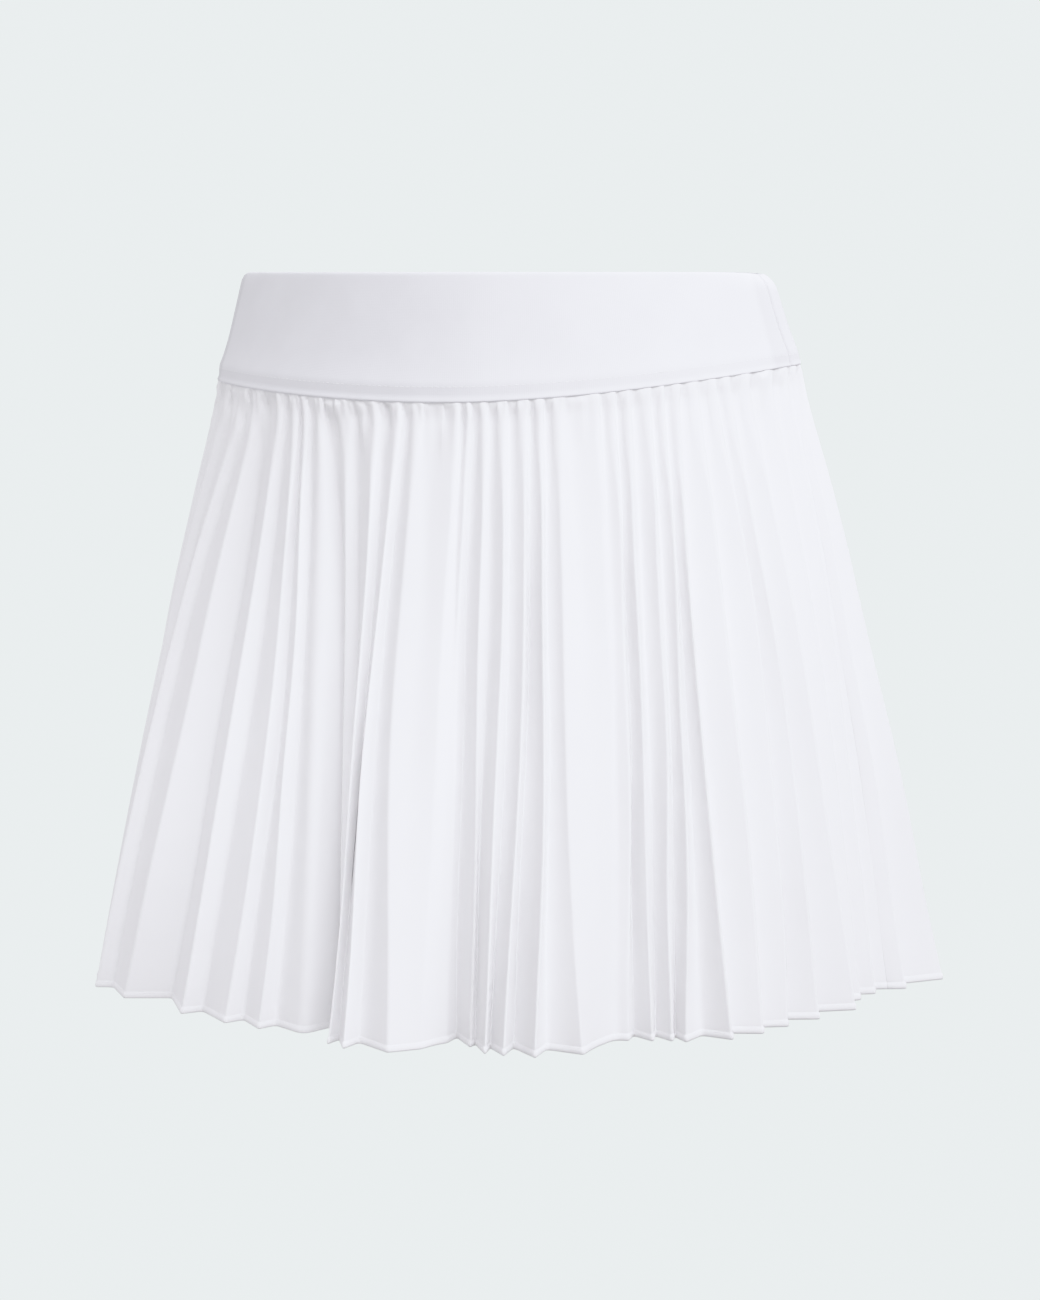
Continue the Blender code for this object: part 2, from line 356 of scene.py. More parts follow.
def panel_rows():
    """Returns the drops of the rows, from just behind the band down to the hem's edge."""
    last = PANEL_LENGTH - HEM_ROWS[0]
    count = int(round((last - TOP_ROWS[-1]) / ROW_STEP))
    middle = np.linspace(TOP_ROWS[-1], last, count + 1)[1:-1]
    return np.concatenate([TOP_ROWS, middle, PANEL_LENGTH - np.array(HEM_ROWS)])


# Uneven ripples of gathered cloth. height: in millimetres, or a pucker's share of PUCKER_HEIGHT.
# pace: radians for each millimetre along. drift, drift_pace, drift_start: how far, how fast and from where
# the spacing drifts.
Ripple = namedtuple("Ripple", "height pace drift drift_pace drift_start")
FINE_PUCKER = Ripple(0.55, 2.05, 1.3, 0.37, 0.0)
WIDER_PUCKER = Ripple(0.45, 1.23, 2.0, 0.21, 1.0)
BROAD_GATHER = Ripple(0.4, 0.93, 1.7, 0.113, 0.6)
PUCKER_HEIGHT = 0.6
# Drops over which they rise from the band, and over which they sink back into the pleats.
PUCKER_SPANS = ((0.0, 1.2), (3.0, 11.0))
BROAD_SPANS = ((0.5, 3.0), (9.0, 30.0))
GATHER_RISE = (0.2, 3.0)
GATHER_HELD = 0.35  # share of its length over which a short gather keeps its height
# Their height sways on the way round the band: about a mean, by how much, and how many times.
SWAY_MEAN = 0.75
SWAY_REACH = 0.35
SWAYS = 1.5


def rippled(along, ripple):
    """Height of one kind of ripple, at distances round the seam."""
    drift = ripple.drift * np.sin(along * ripple.drift_pace + ripple.drift_start)
    return np.sin(along * ripple.pace + drift) * ripple.height


def gather_relief(along, drop, gathers):
    """Height of the puckers and short gathers under the band, in millimetres."""
    puckers = PUCKER_HEIGHT * (rippled(along, FINE_PUCKER) + rippled(along, WIDER_PUCKER))
    broad = rippled(along, BROAD_GATHER)
    sway = SWAY_MEAN - SWAY_REACH * np.sin(along * math.tau / SEAM_LENGTH * SWAYS)
    relief = (puckers * between(drop, *PUCKER_SPANS) + broad * between(drop, *BROAD_SPANS)) * sway
    for gather in gathers:
        middle = gather.seam + gather.slant * drop / gather.length
        reach = between(drop, GATHER_RISE, (GATHER_HELD * gather.length, gather.length))
        relief = relief + gather.height * reach * np.exp(-(((along - middle) / gather.width) ** 2))
    return relief


WOBBLE_ASIDE = 0.5
WOBBLE_OUT = 0.4
WOBBLE_TURNS = 1.4  # about how often a fold wobbles on its way down
WOBBLE_SPREAD = 0.6  # how far that differs from fold to fold
OUTWARD_PACE = 1.3  # how much faster it wobbles in and out than aside
WOBBLE_GROWS = (10.0, 90.0)  # drops over which it grows
OUTER_FOLD = 0.0
INNER_FOLD = 0.5


def wobble(pleat, part, drop):
    """A slow unevenness along a fold, different for each: how far it moves aside and out.

    part keeps a pleat's outer and inner fold apart.
    """
    number = round(pleat.seam % SEAM_LENGTH, 2) + part
    turns = WOBBLE_TURNS + WOBBLE_SPREAD * uneven(number, 1.0)
    aside = math.sin(math.tau * (turns * drop / PANEL_LENGTH + uneven(number, 2.0)))
    out = math.sin(math.tau * (OUTWARD_PACE * turns * drop / PANEL_LENGTH + uneven(number, 3.0)))
    grown = float(smooth(*WOBBLE_GROWS, drop))
    return np.array((WOBBLE_ASIDE * aside, WOBBLE_OUT * out)) * grown


FOLDS_AT_BAND = 0.3  # how much of their relief the pleats keep where they are sewn to the band
FOLDS_GROW = (-1.0, 9.0)  # drops over which they grow to the whole of it
TUCK_STARTS = -0.5  # drop at which the cloth starts to come out from behind the band
TUCK_ENDS = (1.0, 0.4)  # drop at which it is out, at -X and at +X
CREASES_SET = (5.0, 50.0)  # drops over which soft gathers turn into pressed creases


def panel_row(folds, drop, sizes):
    """Returns one row of points along the middle of a panel's cloth, and how far round the ring each is.

    folds holds the pleat before the panel, the panel's own pleats and the pleat after it.
    """
    before, pleats, after = folds
    down = drop / PANEL_LENGTH
    ring = ring_between(SEAM, HEM, down, HIP_SWELL)
    outline = Outline(ring)
    round_length = mix(SEAM_LENGTH, HEM_LENGTH, down)
    spots = [inner_fold_at(before, pleats[0], down)]
    softs = [1.0]
    for pleat, following in zip(pleats, pleats[1:] + [after]):
        spots.append(fold_at(pleat, down) + wobble(pleat, OUTER_FOLD, drop))
        spots.append(inner_fold_at(pleat, following, down) + wobble(pleat, INNER_FOLD, drop))
        softs += [pleat.soft, VALLEY_SOFTNESS]
    # The folds at both ends don't wobble, because the panels meet there.
    spots[-1] = inner_fold_at(pleats[-1], after, down)
    spots.append(fold_at(after, down))
    softs.append(1.0)
    spots = np.array(spots)
    right = 0.5 + 0.5 * np.sin(spots[:, 0] * math.tau / round_length)
    recess = sizes.tuck / MM * (1.0 - smooth(TUCK_STARTS, mix(*TUCK_ENDS, right), drop))
    out = spots[:, 1] * mix(FOLDS_AT_BAND, 1.0, float(smooth(*FOLDS_GROW, drop))) - recess
    along = spots[:, 0] * (outline.length / round_length)
    corners = np.column_stack([outline.point(along, out), along])
    # The side seams lie half-way along a fold.
    corners[0] = (corners[0] + corners[1]) / 2
    corners[-1] = (corners[-2] + corners[-1]) / 2
    reach = mix(sizes.soft_crease, sizes.crisp_crease, float(smooth(*CREASES_SET, drop))) / MM
    line = rounded(corners, reach * np.array(softs))
    x, y = line[:, 0], line[:, 1]
    return np.column_stack([x, y, ring_height(ring, x, y)]), line[:, 2]


def panel_grid(folds, gathers, sizes):
    """Returns the middle of a panel's cloth as a grid of points, rows by columns, with each row's drop."""
    drops = panel_rows()
    rows = [panel_row(folds, drop, sizes) for drop in drops]
    grid = np.array([points for points, along in rows])
    relief = np.array([gather_relief(along, drop, gathers) for (points, along), drop in zip(rows, drops)])
    grid = grid + grid_normals(grid) * relief[..., None]
    return turned_edges(grid), drops


# The side edges turn in to their seam allowance: distances in from the face and back from the seam.
EDGE_BASE = 0.3
EDGE_FOLD = ((0.04, 0.14), (0.3, 0.10), (3.0, 0.10))


def turned_edges(grid):
    """Adds the seam allowance at both side edges, folded in square to the cloth."""
    normals = grid_normals(grid)
    turned = []
    for edge, neighbour in ((0, 1), (-1, -2)):
        ahead = grid[:, neighbour] - grid[:, edge]
        ahead /= np.linalg.norm(ahead, axis=1, keepdims=True)
        columns = [grid[:, edge] + ahead * EDGE_BASE]
        for inwards, aside in EDGE_FOLD:
            columns.append(grid[:, edge] - normals[:, edge] * inwards + ahead * aside)
        turned.append(np.stack(columns, axis=1))
    first, last = turned
    return np.concatenate([first[:, ::-1], grid[:, 1:-1], last], axis=1)


def grid_normals(grid):
    """Returns unit normals that face out of a grid whose columns run anticlockwise and rows run down."""
    across = np.gradient(grid, axis=1)
    downwards = np.gradient(grid, axis=0)
    normals = np.cross(downwards, across)
    return normals / np.linalg.norm(normals, axis=-1, keepdims=True)


def smooth_mesh(name, points, faces):
    """Makes a mesh that is shaded smooth."""
    mesh = bpy.data.meshes.new(name)
    mesh.from_pydata(points, [], faces)
    mesh.polygons.foreach_set("use_smooth", np.ones(len(faces), dtype=bool))
    mesh.update()
    return mesh


def shell_mesh(name, outer, inner, uv):
    """Makes a closed thin shell from two grids of points and gives it the cloth's own coordinates."""
    rows, columns = outer.shape[:2]
    count = rows * columns
    index = np.arange(count).reshape(rows, columns)
    a, b, c, d = index[:-1, :-1], index[1:, :-1], index[1:, 1:], index[:-1, 1:]
    rim = np.concatenate([index[0, :-1], index[:-1, -1], index[-1, :0:-1], index[:0:-1, 0]])
    ahead = np.roll(rim, -1)
    faces = np.concatenate([
        np.stack([a, b, c, d], -1).reshape(-1, 4),
        np.stack([d, c, b, a], -1).reshape(-1, 4) + count,
        np.stack([rim, ahead, ahead + count, rim + count], -1),
    ])
    points = np.concatenate([outer.reshape(-1, 3), inner.reshape(-1, 3)]) * MM
    mesh = smooth_mesh(name, points, faces)
    layer = mesh.uv_layers.new(name="cloth")
    flat = np.concatenate([uv.reshape(-1, 2)] * 2)
    layer.data.foreach_set("uv", (flat[faces.reshape(-1)] * MM).reshape(-1).astype(np.float32))
    mesh.validate()
    mesh.update()
    return mesh


def put_in_scene(name, data):
    """Adds an object to the scene, in place of an older one of the same name."""
    old = bpy.data.objects.get(name)
    if old:
        bpy.data.objects.remove(old, do_unlink=True)
    item = bpy.data.objects.new(name, data)
    bpy.context.scene.collection.objects.link(item)
    return item


def add_piece(name, mesh, material):
    """Adds a piece of the skirt, which rides on its one body."""
    mesh.materials.append(material)
    piece = put_in_scene(name, mesh)
    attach(piece, "root")
    return piece


def cloth_uv(grid, drops):
    """Coordinates in the flat cloth: across at mid-height, and down from its top."""
    steps = np.linalg.norm(np.diff(grid, axis=1), axis=2)[len(drops) // 2]
    across = np.concatenate([[0.0], np.cumsum(steps)])
    u, v = np.meshgrid(across, -np.asarray(drops))
    return np.stack([u, v], -1)


def build_panel(side, folds, gathers, sizes, colours):
    """Builds a pleated panel. Returns it with its outer face's grid and normals, and its rows' drops."""
    grid, drops = panel_grid(folds, gathers, sizes)
    normals = grid_normals(grid)
    up = PANEL_LENGTH - drops
    heights = [row.up for row in HEM_PROFILE] + [HEM_TOP]
    half = sizes.cloth / MM / 2
    outer = np.interp(up, heights, [row.outer for row in HEM_PROFILE] + [half])
    inner = np.interp(up, heights, [row.inner for row in HEM_PROFILE] + [half])
    face = grid + normals * outer[:, None, None]
    back = grid - normals * inner[:, None, None]
    mesh = shell_mesh(f"panel_{side}", face, back, cloth_uv(grid, drops))
    piece = add_piece(f"panel_{side}", mesh, cloth_material(colours))
    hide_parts(f"skirt_{side}")
    return piece, face, normals, drops


# ---------------------------------------------------------------- elastic band

BAND_COLUMNS = 150
BAND_GAP = 0.1  # from the end of each half to the side seam
GROOVE_DEPTH = 0.2  # how far the face sinks at the side seam
GROOVE_WIDTH = 0.9
RIGHT_BULGE = 0.5  # how much of its bulges the band keeps at +X
BULGE_FADES = (-0.6, 1.0)  # where they fade, from -1 at the -X side to 1 at the +X side
# The top edge rolls in over both sides: how far in, and over what share of the way down.
LEFT_ROLL = (2.4, 0.06)
RIGHT_ROLL = (3.4, 0.13)
ROLL_POWER = 1.6
RIGHT_DIP = 1.0  # how far the top edge sinks at +X
DIP_FADES = (0.0, 0.5)
SIDE_POWER = 12  # the higher, the closer roll and dip keep to the sides


def side_roll(aside, down):
    """How far the top edge rolls in over the two sides, further at +X."""
    inwards = np.where(aside > 0.0, RIGHT_ROLL[0], LEFT_ROLL[0])
    reach = np.where(aside > 0.0, RIGHT_ROLL[1], LEFT_ROLL[1])
    return inwards * np.abs(aside) ** SIDE_POWER * np.clip(1.0 - down / reach, 0.0, 1.0) ** ROLL_POWER


def side_dip(aside, down):
    """The top edge sinks a little over the side at +X."""
    return RIGHT_DIP * np.clip(aside, 0.0, 1.0) ** SIDE_POWER * (1.0 - smooth(*DIP_FADES, down))


def band_grids(start, end):
    """Returns the outer and the inner face of a band half between two side seams, as grids of points."""
    outer, inner = [], []
    for row in BAND_ROWS:
        ring = ring_between(WAIST, SEAM, row.down)
        outline = Outline(ring)
        half = outline.length / 2
        along = np.linspace(start * half + BAND_GAP, end * half - BAND_GAP, BAND_COLUMNS + 1)
        aside = (outline.place(along)[:, 0] - ring.shift) / ring.half_width
        edge = np.minimum(along - along[0], along[-1] - along)
        groove = GROOVE_DEPTH * (1.0 - smooth(0.0, GROOVE_WIDTH, edge))
        kept = mix(1.0, RIGHT_BULGE, smooth(*BULGE_FADES, aside)) if row.outer > 0.0 else 1.0
        roll = side_roll(aside, row.down)
        for out, face in ((row.outer * kept - groove - roll, outer), (row.inner - roll, inner)):
            spots = outline.point(along, out)
            x, y = spots[:, 0], spots[:, 1]
            z = ring_height(ring, x, y) - side_dip(aside, row.down)
            face.append(np.column_stack([x, y, z]))
    return np.array(outer), np.array(inner)


def build_band(side, start, end, colours):
    """Builds a half of the elastic band. Returns it with its outer face's grid."""
    outer, inner = band_grids(start, end)
    uv = cloth_uv(outer, [row.down * BAND_HEIGHT for row in BAND_ROWS])
    mesh = shell_mesh(f"band_{side}", outer, inner, uv)
    piece = add_piece(f"band_{side}", mesh, elastic_material(colours))
    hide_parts(f"waistband_{side}")
    return piece, outer


# ---------------------------------------------------------------- stitches

STITCH_SIDES = 6
# Shares of a stitch's length, with its width there as a share of the whole.
STITCH_SHAPE = ((0.0, 0.25), (0.14, 0.85), (0.5, 1.0), (0.86, 0.85), (1.0, 0.25))
STITCH_SUNK = 0.25  # how far it is sunk in the cloth, as a share of its radius
TOPSTITCH_RADIUS = 0.16
TOPSTITCH_SHARE = 0.72  # how much of the way to the next stitch it fills
HEM_STITCH_RADIUS = 0.11
HEM_STITCH_SHARE = 0.6
HEM_STITCH_PITCH = 2.2
HEM_STITCH_UP = 2.5  # from the hem's edge


def stitch_mesh(name, starts, ends, normals, radius):
    """Makes short rounded stitches, each lying between two points on the cloth."""
    points, faces = [], []
    for start, end, normal in zip(starts, ends, normals):
        along = end - start
        length = np.linalg.norm(along)
        along = along / length
        side = np.cross(along, normal)
        base = len(points)
        for share, width in STITCH_SHAPE:
            centre = start + along * length * share - normal * radius * STITCH_SUNK
            for i in range(STITCH_SIDES):
                turn = math.tau * i / STITCH_SIDES
                points.append(centre + (side * math.cos(turn) + normal * math.sin(turn)) * radius * width)
        last = base + (len(STITCH_SHAPE) - 1) * STITCH_SIDES
        for low in range(base, last, STITCH_SIDES):
            for i in range(STITCH_SIDES):
                j = (i + 1) % STITCH_SIDES
                high = low + STITCH_SIDES
                faces.append((low + i, low + j, high + j, high + i))
        faces.append(tuple(base + i for i in range(STITCH_SIDES))[::-1])
        faces.append(tuple(last + i for i in range(STITCH_SIDES)))
    return smooth_mesh(name, np.array(points) * MM, faces)


def stitches_on(line, normals, pitch, share):
    """Spaces stitches evenly along a line on the cloth. Returns their starts, ends and normals."""
    steps = np.linalg.norm(np.diff(line, axis=0), axis=1)
    run = np.concatenate([[0.0], np.cumsum(steps)])
    count = int(run[-1] / pitch)
    starts = (np.arange(count) + 0.5 - share / 2) * run[-1] / count
    ends = starts + share * run[-1] / count

    def at(where, values):
        return np.column_stack([np.interp(where, run, values[:, i]) for i in range(3)])

    facing = at((starts + ends) / 2, normals)
    return at(starts, line), at(ends, line), facing / np.linalg.norm(facing, axis=1, keepdims=True)


# ---------------------------------------------------------------- materials


def fresh_material(name, kind="ShaderNodeBsdfPrincipled"):
    """Returns an emptied material of this name, its nodes, and a shader that is joined to its surface."""
    material = bpy.data.materials.get(name) or bpy.data.materials.new(name)
    material.use_nodes = True
    tree = material.node_tree
    tree.nodes.clear()
    shader = tree.nodes.new(kind)
    output = tree.nodes.new("ShaderNodeOutputMaterial")
    tree.links.new(shader.outputs[0], output.inputs["Surface"])
    return material, tree, shader


def add_node(tree, kind, inputs=(), **settings):
    """Adds a node, with its inputs as values or as links from other nodes."""
    node = tree.nodes.new(kind)
    for key, value in settings.items():
        setattr(node, key, value)
    for key, value in dict(inputs).items():
        if isinstance(value, bpy.types.NodeSocket):
            tree.links.new(value, node.inputs[key])
        else:
            node.inputs[key].default_value = value
    return node


def math_node(tree, operation, first, second=0.0):
    return add_node(tree, "ShaderNodeMath", {0: first, 1: second}, operation=operation).outputs[0]


def threads(tree, pitch_across, pitch_down):
    """Returns the cloth's own coordinates, and the heights of the threads that run down and across it."""
    coordinates = add_node(tree, "ShaderNodeUVMap", uv_map="cloth").outputs["UV"]
    split = add_node(tree, "ShaderNodeSeparateXYZ", {"Vector": coordinates})
    warp = math_node(tree, "SINE", math_node(tree, "MULTIPLY", split.outputs["X"], math.tau / pitch_across))
    weft = math_node(tree, "SINE", math_node(tree, "MULTIPLY", split.outputs["Y"], math.tau / pitch_down))
    return coordinates, warp, weft


def blotches(tree, coordinates, scale, low, high):
    """Returns a slow uneven value between two levels."""
    noise = add_node(tree, "ShaderNodeTexNoise", {"Vector": coordinates, "Scale": scale, "Detail": 3.0})
    spread = add_node(
        tree,
        "ShaderNodeMapRange",
        {"Value": noise.outputs["Fac"], "From Min": 0.3, "From Max": 0.7, "To Min": low, "To Max": high},
    )
    return spread.outputs["Result"]


def tinted(tree, share, first, second):
    """Returns a blend of two colours."""
    blend = add_node(tree, "ShaderNodeMix", {"Factor": share}, data_type="RGBA")
    for socket in blend.inputs:
        if socket.type == "RGBA":
            socket.default_value = (*(first if socket.name == "A" else second), 1.0)
    return next(socket for socket in blend.outputs if socket.type == "RGBA")


CLOTH_THREADS = (0.00042, 0.00038)  # from thread to thread in metres, across and down
BAND_THREADS = (0.0009, 0.0006)


def cloth_material(colours):
    """Matt plain-woven cloth: fine crossing threads, faint slubs and slight unevenness of tone."""
    material, tree, shader = fresh_material("pleated_cloth")
    coordinates, warp, weft = threads(tree, *CLOTH_THREADS)
    weave = math_node(tree, "MULTIPLY", warp, weft)
    slub = blotches(tree, coordinates, 420.0, -0.6, 0.6)
    height = math_node(tree, "ADD", weave, slub)
    bump = add_node(tree, "ShaderNodeBump", {"Height": height, "Strength": 0.35, "Distance": 0.00004})
    tree.links.new(bump.outputs["Normal"], shader.inputs["Normal"])
    tone = blotches(tree, coordinates, 60.0, 0.0, 1.0)
    shade = [value * 0.985 for value in colours.cloth]
    tree.links.new(tinted(tree, tone, colours.cloth, shade), shader.inputs["Base Color"])
    rough = blotches(tree, coordinates, 200.0, 0.72, 0.84)
    tree.links.new(rough, shader.inputs["Roughness"])
    shader.inputs["Sheen Weight"].default_value = 0.12
    shader.inputs["Sheen Roughness"].default_value = 0.45
    shader.inputs["Specular IOR Level"].default_value = 0.25
    return material


PAINTED_SIDE_SHADE = 0.90  # painted shade: how dark the band is painted at its sides, where it turns away from the light
PAINTED_SHADE_SPAN = (8.0, 5.0)  # how far in from its widest place the painted shade starts, and is at its darkest


def painted_side_shade(tree):
    """Rises from 0 to 1 where the band turns to its sides, at every height: how much painted shade the band
    gets there.
    """
    place = add_node(tree, "ShaderNodeTexCoord").outputs["Object"]
    split = add_node(tree, "ShaderNodeSeparateXYZ", {"Vector": place})
    aside = math_node(tree, "ABSOLUTE", split.outputs["X"])
    flare = (SEAM.half_width - WAIST.half_width) / (WAIST.height - SEAM.height)
    level = math_node(tree, "ADD", aside, math_node(tree, "MULTIPLY", split.outputs["Z"], flare))
    start, end = ((WAIST.half_width - inwards) * MM for inwards in PAINTED_SHADE_SPAN)
    share = add_node(
        tree,
        "ShaderNodeMapRange",
        {"Value": level, "From Min": start, "From Max": end},
        interpolation_type="SMOOTHSTEP",
    )
    return share.outputs["Result"]


def elastic_material(colours):
    """Smooth knitted elastic: narrow upright ribs crossed by finer courses, with painted shade towards its
    sides.
    """
    material, tree, shader = fresh_material("elastic_band")
    coordinates, warp, weft = threads(tree, *BAND_THREADS)
    ribs = math_node(tree, "ADD", warp, math_node(tree, "MULTIPLY", weft, 0.5))
    bump = add_node(tree, "ShaderNodeBump", {"Height": ribs, "Strength": 0.2, "Distance": 0.00004})
    tree.links.new(bump.outputs["Normal"], shader.inputs["Normal"])
    tone = blotches(tree, coordinates, 45.0, 0.0, 0.3)
    # Painted shade: the band's colour darkens towards both sides, where it turns away from the light.
    tone = math_node(tree, "ADD", tone, painted_side_shade(tree))
    shade = [value * PAINTED_SIDE_SHADE for value in colours.band]
    tree.links.new(tinted(tree, tone, colours.band, shade), shader.inputs["Base Color"])
    rough = blotches(tree, coordinates, 150.0, 0.58, 0.7)
    tree.links.new(rough, shader.inputs["Roughness"])
    shader.inputs["Sheen Weight"].default_value = 0.1
    shader.inputs["Specular IOR Level"].default_value = 0.3
    return material


def thread_material(colours):
    """White sewing thread with a fine twist."""
    material, tree, shader = fresh_material("sewing_thread")
    place = add_node(tree, "ShaderNodeTexCoord").outputs["Object"]
    twist = add_node(
        tree,
        "ShaderNodeTexWave",
        {"Vector": place, "Scale": 900.0, "Distortion": 1.5},
        bands_direction="DIAGONAL",
    )
    bump = add_node(
        tree, "ShaderNodeBump", {"Height": twist.outputs["Fac"], "Strength": 0.4, "Distance": 0.00003}
    )
    tree.links.new(bump.outputs["Normal"], shader.inputs["Normal"])
    shade = [value * 0.97 for value in colours.thread]
    tree.links.new(tinted(tree, twist.outputs["Fac"], shade, colours.thread), shader.inputs["Base Color"])
    shader.inputs["Roughness"].default_value = 0.55
    return material


def backdrop_material(colour):
    """Even pale paper that shows no shadow."""
    material, _, glow = fresh_material("studio_paper", "ShaderNodeEmission")
    glow.inputs["Color"].default_value = (*colour, 1.0)
    return material


# ---------------------------------------------------------------- settings


class SkirtSizes(bpy.types.PropertyGroup):
    """Sizes of the cloth's detail."""

    cloth: FloatProperty(
        name="Cloth", description="Thickness of the pleated cloth", default=0.0006, unit="LENGTH"
    )
    crisp_crease: FloatProperty(
        name="Crisp crease",
        description="How far a pressed crease is rounded, towards the hem",
        default=0.0010,
        unit="LENGTH",
    )
    soft_crease: FloatProperty(
        name="Soft crease",
        description="How far a crease is rounded just under the band",
        default=0.0034,
        unit="LENGTH",
    )
    tuck: FloatProperty(
        name="Tuck",
        description="How far the cloth lies behind the band's edge",
        default=0.0004,
        unit="LENGTH",
    )
    stitch: FloatProperty(
        name="Stitch", description="Distance from one stitch to the next", default=0.0026, unit="LENGTH"
    )


class SkirtColours(bpy.types.PropertyGroup):
    """Colours of the cloth, the band and the thread."""

    cloth: FloatVectorProperty(
        name="Cloth", description="Pleated cloth", default=(0.95, 0.95, 0.955), subtype="COLOR"
    )
    band: FloatVectorProperty(
        name="Band", description="Elastic band", default=(0.854, 0.857, 0.877), subtype="COLOR"
    )
    thread: FloatVectorProperty(
        name="Thread", description="Sewing thread", default=(0.92, 0.92, 0.93), subtype="COLOR"
    )


class SkirtStudio(bpy.types.PropertyGroup):
    """Light and backdrop."""

    paper: FloatVectorProperty(
        name="Paper",
        description="Floor and backdrop",
        default=(0.623, 0.670, 0.628),
        subtype="COLOR",
    )
    front: FloatProperty(name="Front", description="Soft light from the front", default=3.1, unit="POWER")
    right: FloatProperty(name="Right", description="Soft light from the right", default=4.2, unit="POWER")
    left: FloatProperty(name="Left", description="Weak light from the left", default=1.7, unit="POWER")
    strip: FloatProperty(
        name="Strip", description="Narrow light on the pleats from the front", default=0.037, unit="POWER"
    )
    rear: FloatProperty(
        name="Rear", description="Soft light from behind and above", default=7.5, unit="POWER"
    )
    ambient: FloatProperty(name="Ambient", description="Even light all round", default=0.435)


# ---------------------------------------------------------------- operators


class SKIRT_OT_band(bpy.types.Operator):
    """Build both halves of the elastic band with their topstitching"""

    bl_idname = "skirt.band"
    bl_label = "Build elastic band"
    bl_options = {"REGISTER", "UNDO"}

    def execute(self, context):
        sizes, colours = context.scene.skirt_sizes, context.scene.skirt_colours
        halves = (("front", -SIDE_SEAM, SIDE_SEAM), ("back", SIDE_SEAM, 2.0 - SIDE_SEAM))
        row = [entry.down for entry in BAND_ROWS].index(TOPSTITCH_DOWN)
        for side, start, end in halves:
            band, outer = build_band(side, start, end, colours)
            line, facing = outer[row], grid_normals(outer)[row]
            places = stitches_on(line, facing, sizes.stitch / MM, TOPSTITCH_SHARE)
            mesh = stitch_mesh(f"topstitch_{side}", *places, TOPSTITCH_RADIUS)
            stitches = add_piece(f"topstitch_{side}", mesh, thread_material(colours))
        return {"FINISHED"}


class SKIRT_OT_panels(bpy.types.Operator):
    """Build the front and the back pleated panel with their hem stitching"""

    bl_idname = "skirt.panels"
    bl_label = "Build pleated panels"
    bl_options = {"REGISTER", "UNDO"}

    def execute(self, context):
        sizes, colours = context.scene.skirt_sizes, context.scene.skirt_colours
        back = SIDE_PLEATS + back_pleats()
        panels = (
            ("front", (shift_round(back[-1], -1), FRONT_PLEATS, back[0]), FRONT_GATHERS),
            ("back", (FRONT_PLEATS[-1], back, shift_round(FRONT_PLEATS[0], 1)), []),
        )
        turned = len(EDGE_FOLD) + 1  # columns that turn in at each side edge
        for side, folds, gathers in panels:
            panel, outer, normals, drops = build_panel(side, folds, gathers, sizes, colours)
            row = int(np.argmin(np.abs(drops - (PANEL_LENGTH - HEM_STITCH_UP))))
            line, facing = outer[row, turned:-turned], normals[row, turned:-turned]
            places = stitches_on(line, facing, HEM_STITCH_PITCH, HEM_STITCH_SHARE)
            mesh = stitch_mesh(f"hem_stitch_{side}", *places, HEM_STITCH_RADIUS)
            stitches = add_piece(f"hem_stitch_{side}", mesh, thread_material(colours))
        return {"FINISHED"}


class SKIRT_OT_stage(bpy.types.Operator):
    """Set up the floor and backdrop, the soft lights and the camera"""

    bl_idname = "skirt.stage"
    bl_label = "Set up studio"
    bl_options = {"REGISTER", "UNDO"}

    def execute(self, context):
        studio = context.scene.skirt_studio
        paper_bowl(studio.paper)
        for name, lamp in LAMPS.items():
            add_light(f"{name}_light", lamp, getattr(studio, name))
        ambient_light(studio.ambient)
        place_camera()
        view = context.scene.view_settings
        view.view_transform = "Standard"
        view.look = "None"
        view.gamma = 1.0
        soften_highlights(view)
        return {"FINISHED"}


PAPER_RADIUS = 5.0
PAPER_FLOOR = -2.0
PAPER_BEND = 1.5
PAPER_STEPS = 64
BEND_STEPS = 8
DOME_STEPS = 12


def paper_bowl(colour):
    """A round floor of paper that rises all round in a wide curve and closes overhead."""
    section = [(0.0, PAPER_FLOOR)]
    for i in range(BEND_STEPS + 1):
        turn = math.pi / 2 * i / BEND_STEPS
        reach = PAPER_RADIUS - PAPER_BEND * (1.0 - math.sin(turn))
        section.append((reach, PAPER_FLOOR + PAPER_BEND * (1.0 - math.cos(turn))))
    for i in range(DOME_STEPS + 1):
        turn = math.pi / 2 * i / DOME_STEPS
        section.append((PAPER_RADIUS * math.cos(turn), PAPER_RADIUS * math.sin(turn)))
    spin = [math.tau * i / PAPER_STEPS for i in range(PAPER_STEPS)]
    points = [(reach * math.cos(a), reach * math.sin(a), height) for reach, height in section for a in spin]
    faces = []
    for row in range(len(section) - 1):
        for i in range(PAPER_STEPS):
            j = (i + 1) % PAPER_STEPS
            low, high = row * PAPER_STEPS, (row + 1) * PAPER_STEPS
            faces.append((low + i, high + i, high + j, low + j))
    mesh = smooth_mesh("paper_bowl", points, faces)
    mesh.materials.append(backdrop_material(colour))
    bowl = put_in_scene("paper_bowl", mesh)
    bowl.visible_diffuse = False
    bowl.visible_glossy = False
    bowl.visible_shadow = False


# place: where a lamp stands. target: what it points at. size: its width. shape: its outline.
# spread: how wide its beam opens.
Lamp = namedtuple("Lamp", "place target size shape spread", defaults=("DISK", math.pi))
LAMPS = {
    "front": Lamp((0.55, -0.95, 0.75), (0.0, 0.0, -0.12), 0.7),
    "right": Lamp((0.95, -0.55, 0.75), (0.0, 0.0, -0.12), 0.7),
    "left": Lamp((-1.6, 0.1, 0.1), (0.0, 0.0, -0.16), 1.2),
    "strip": Lamp((0.12, -1.5, -0.20), (-0.16, 0.0, -0.22), 0.1, "SQUARE", math.radians(20.0)),
    "rear": Lamp((0.7, 1.5, 0.8), (0.0, 0.0, -0.16), 0.9),
}


